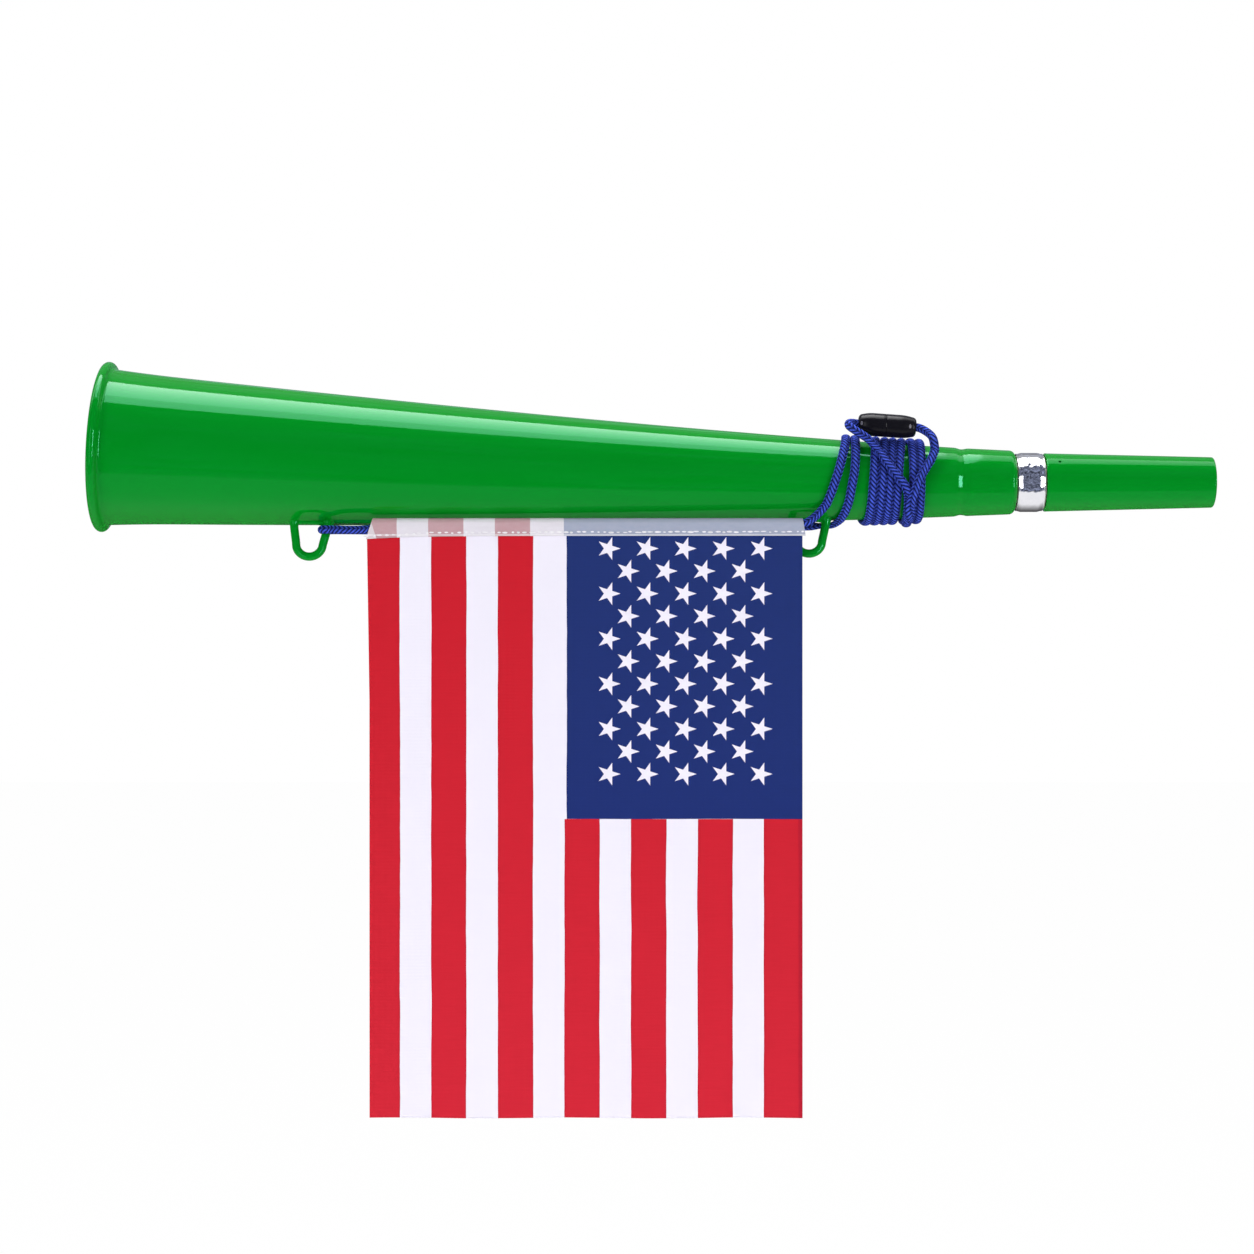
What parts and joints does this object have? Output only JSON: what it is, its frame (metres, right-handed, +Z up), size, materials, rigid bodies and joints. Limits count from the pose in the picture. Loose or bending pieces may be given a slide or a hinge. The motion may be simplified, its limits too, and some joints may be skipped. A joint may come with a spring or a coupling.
{
  "type": "stadium horn",
  "caption": "Hand-held plastic stadium horn with a pull-out reed mouthpiece, a wound neck lanyard with a breakaway clasp, and a hand flag hung from the lanyard.",
  "frame": {"origin": "on the neck's axis, in the middle of the collar that a hand closes round", "axes": "+X from the bell to the mouthpiece, -Y to the viewer, +Z up; the flag hangs along -Z"},
  "size_m": [0.3608, 0.055, 0.2424],
  "materials": {
    "green_plastic": "moulded, glossy",
    "white_plastic": "moulded, satin",
    "chrome": "polished",
    "reed_brass": "rolled strip",
    "blue_cord": "braided polyester",
    "black_plastic": "moulded, glossy",
    "flag_cloth": "printed polyester"
  },
  "bodies": {
    "horn": {"horn_body": "green_plastic", "lanyard_lead_left": "blue_cord", "lanyard_winding_left": "blue_cord", "lanyard_loop": "blue_cord", "lanyard_winding_right": "blue_cord", "lanyard_lead_right": "blue_cord", "clasp_socket": "black_plastic"},
    "reed_unit": {"reed_housing": "white_plastic", "chrome_band": "chrome", "reed_shallot": "white_plastic", "reed_wedge": "white_plastic"},
    "reed": {"reed_tongue": "reed_brass"},
    "mouth": {"mouthpiece": "green_plastic"},
    "clasp_half": {"clasp_plug": "black_plastic"},
    "sleeve": {"flag_sleeve": "flag_cloth"},
    "panel": {"flag_panel": "flag_cloth"}
  },
  "joints": [
    {"name": "mouthpiece_pull", "type": "slide", "parent": "horn", "child": "reed_unit", "axis": [1, 0, 0], "range_m": [0, 0.045]},
    {"name": "mouthpiece_twist", "type": "hinge", "parent": "reed_unit", "child": "mouth", "pos_m": [0.047, 0, 0], "axis": [1, 0, 0], "continuous": true},
    {"name": "reed_flex", "type": "hinge", "parent": "reed_unit", "child": "reed", "pos_m": [0.02265, 0, 0.00095], "axis": [0, 1, 0], "range_deg": [-3, 1.5], "stiffness_Nm_per_rad": 0.02},
    {"name": "clasp_release", "type": "slide", "parent": "horn", "child": "clasp_half", "axis": [0.9976, 0, -0.0698], "range_m": [0, 0.007], "deforming": ["lanyard_lead_right"]},
    {"name": "flag_slide", "type": "slide", "parent": "horn", "child": "sleeve", "axis": [1, 0, 0], "range_m": [-0.006, 0]},
    {"name": "flag_swing", "type": "hinge", "parent": "sleeve", "child": "panel", "pos_m": [-0.1289, -0.0112, -0.01925], "axis": [-1, 0, 0], "range_deg": [-20, 120]}
  ]
}
